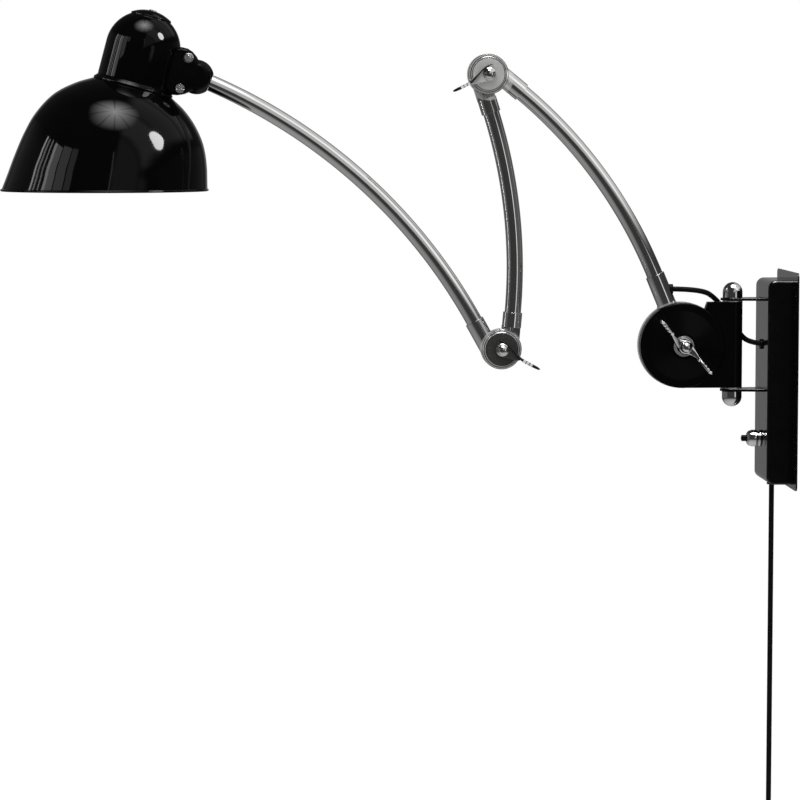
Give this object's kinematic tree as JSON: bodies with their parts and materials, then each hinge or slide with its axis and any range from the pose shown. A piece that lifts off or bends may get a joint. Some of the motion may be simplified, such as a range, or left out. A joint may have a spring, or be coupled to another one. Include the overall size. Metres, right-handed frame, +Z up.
{
  "type": "articulating wall lamp",
  "caption": "Wall lamp with a swivel bracket, three bowed jointed arm tubes and a shade on a ball knuckle.",
  "frame": {"origin": "centre of the wall plate's back face, on the wall", "axes": "+X into the wall, +Z up, the arms lie in the plane Y = 0 with the clamping nuts on the -Y side"},
  "size_m": [0.818, 0.214, 1.0552],
  "materials": {
    "black_enamel": "gloss",
    "box_paint": "semi-gloss",
    "casting_paint": "semi-gloss",
    "chrome": "polished",
    "satin_steel": "satin",
    "dark_steel": "satin",
    "zinc_steel": "zinc plated",
    "fibre": "matte",
    "black_plastic": "gloss",
    "grey_plastic": "matte",
    "black_rubber": "satin",
    "brass": "satin",
    "frosted_glass": "frosted"
  },
  "bodies": {
    "wall_mount": {"wall_plate": "box_paint", "box_cover": "box_paint", "cover_screws": "zinc_steel", "hinge_bracket": "box_paint", "bracket_rivets": "zinc_steel", "swivel_pin": "zinc_steel", "swivel_acorn_nuts": "chrome", "cable_gland": "black_rubber", "switch_collar": "chrome", "switch_body": "black_plastic", "terminal_block": "grey_plastic", "terminal_screws": "brass", "inner_lead": "black_rubber", "cord_clamp": "black_plastic", "cord_clamp_screws": "zinc_steel", "cord_bush": "black_rubber", "jumper_lower": "black_rubber", "mains_cord": "black_rubber", "mains_coil": "black_rubber", "mains_tail": "black_rubber", "coil_tie": "black_rubber", "plug_body": "black_plastic", "plug_pins": "zinc_steel"},
    "swivel": {"swivel_casting": "casting_paint", "swivel_washers": "zinc_steel", "shoulder_washer": "chrome", "jumper_upper": "black_rubber"},
    "arm_lower": {"shoulder_eye": "chrome", "shoulder_friction_disc": "fibre", "shoulder_bolt": "chrome", "arm_lower_tube": "chrome", "cable_grommet": "black_rubber", "upper_elbow_front_eye": "chrome", "upper_elbow_pressure_plate": "satin_steel", "arm_lower_flex": "black_rubber"},
    "arm_middle": {"upper_elbow_rear_eye": "chrome", "lower_elbow_rear_eye": "chrome", "arm_middle_tube": "chrome", "elbow_bolts": "zinc_steel", "elbow_friction_discs": "fibre", "elbow_wire_loops": "black_rubber", "arm_middle_flex": "black_rubber"},
    "arm_upper": {"lower_elbow_front_eye": "chrome", "lower_elbow_pressure_plate": "dark_steel", "arm_upper_tube": "chrome", "ball_nipple": "zinc_steel", "ball_retaining_nut": "zinc_steel", "arm_upper_flex": "black_rubber"},
    "ball": {"knuckle_ball": "casting_paint"},
    "head": {"knuckle_front_shell": "casting_paint", "knuckle_rear_shell": "casting_paint", "knuckle_screws": "zinc_steel", "knuckle_nuts": "zinc_steel", "saddle_screws": "zinc_steel", "cap": "black_enamel", "cap_screw": "chrome", "cap_flange_ring": "black_enamel", "lampholder": "black_plastic", "head_lead": "black_rubber", "shade_ring": "black_plastic", "bulb_base": "brass", "bulb_glass": "frosted_glass", "shade": "black_enamel"},
    "switch_button": {"switch_button": "black_plastic"},
    "shoulder_wing_nut": {"shoulder_wing_nut": "chrome"},
    "upper_elbow_lever": {"upper_elbow_lever": "chrome"},
    "lower_elbow_lever": {"lower_elbow_lever": "chrome"}
  },
  "joints": [
    {"name": "swivel", "type": "hinge", "parent": "wall_mount", "child": "swivel", "pos_m": [-0.059, 0, 0.0358], "axis": [0, 0, 1], "range_deg": [-75, 50], "deforming": ["jumper_lower", "jumper_upper"]},
    {"name": "shoulder", "type": "hinge", "parent": "swivel", "child": "arm_lower", "pos_m": [-0.1127, 0, 0.0353], "axis": [0, 1, 0], "range_deg": [-95, 35], "deforming": ["jumper_upper"]},
    {"name": "upper_elbow", "type": "hinge", "parent": "arm_lower", "child": "arm_middle", "pos_m": [-0.31565, 0, 0.31639], "axis": [0, 1, 0], "range_deg": [-17, 115]},
    {"name": "lower_elbow", "type": "hinge", "parent": "arm_middle", "child": "arm_upper", "pos_m": [-0.30124, 0, 0.03185], "axis": [0, -1, 0], "range_deg": [-28, 120]},
    {"name": "head_roll", "type": "hinge", "parent": "arm_upper", "child": "ball", "pos_m": [-0.61603, 0, 0.31321], "axis": [0.9182, 0, -0.3961], "range_deg": [-75, 75]},
    {"name": "head_tilt", "type": "hinge", "parent": "ball", "child": "head", "pos_m": [-0.61603, 0, 0.31321], "axis": [0, 1, 0], "range_deg": [-38, 60]},
    {"name": "switch_press", "type": "slide", "parent": "wall_mount", "child": "switch_button", "axis": [1, 0, 0], "range_m": [0, 0.0025], "stiffness_N_per_m": 900},
    {"name": "shoulder_nut_turn", "type": "hinge", "parent": "arm_lower", "child": "shoulder_wing_nut", "pos_m": [-0.1127, 0, 0.0353], "axis": [0, 1, 0], "range_deg": [-180, 180]},
    {"name": "upper_lever_turn", "type": "hinge", "parent": "arm_middle", "child": "upper_elbow_lever", "pos_m": [-0.31565, 0, 0.31639], "axis": [0, 1, 0], "range_deg": [-180, 180]},
    {"name": "lower_lever_turn", "type": "hinge", "parent": "arm_middle", "child": "lower_elbow_lever", "pos_m": [-0.30124, 0, 0.03185], "axis": [0, 1, 0], "range_deg": [-180, 180]}
  ]
}
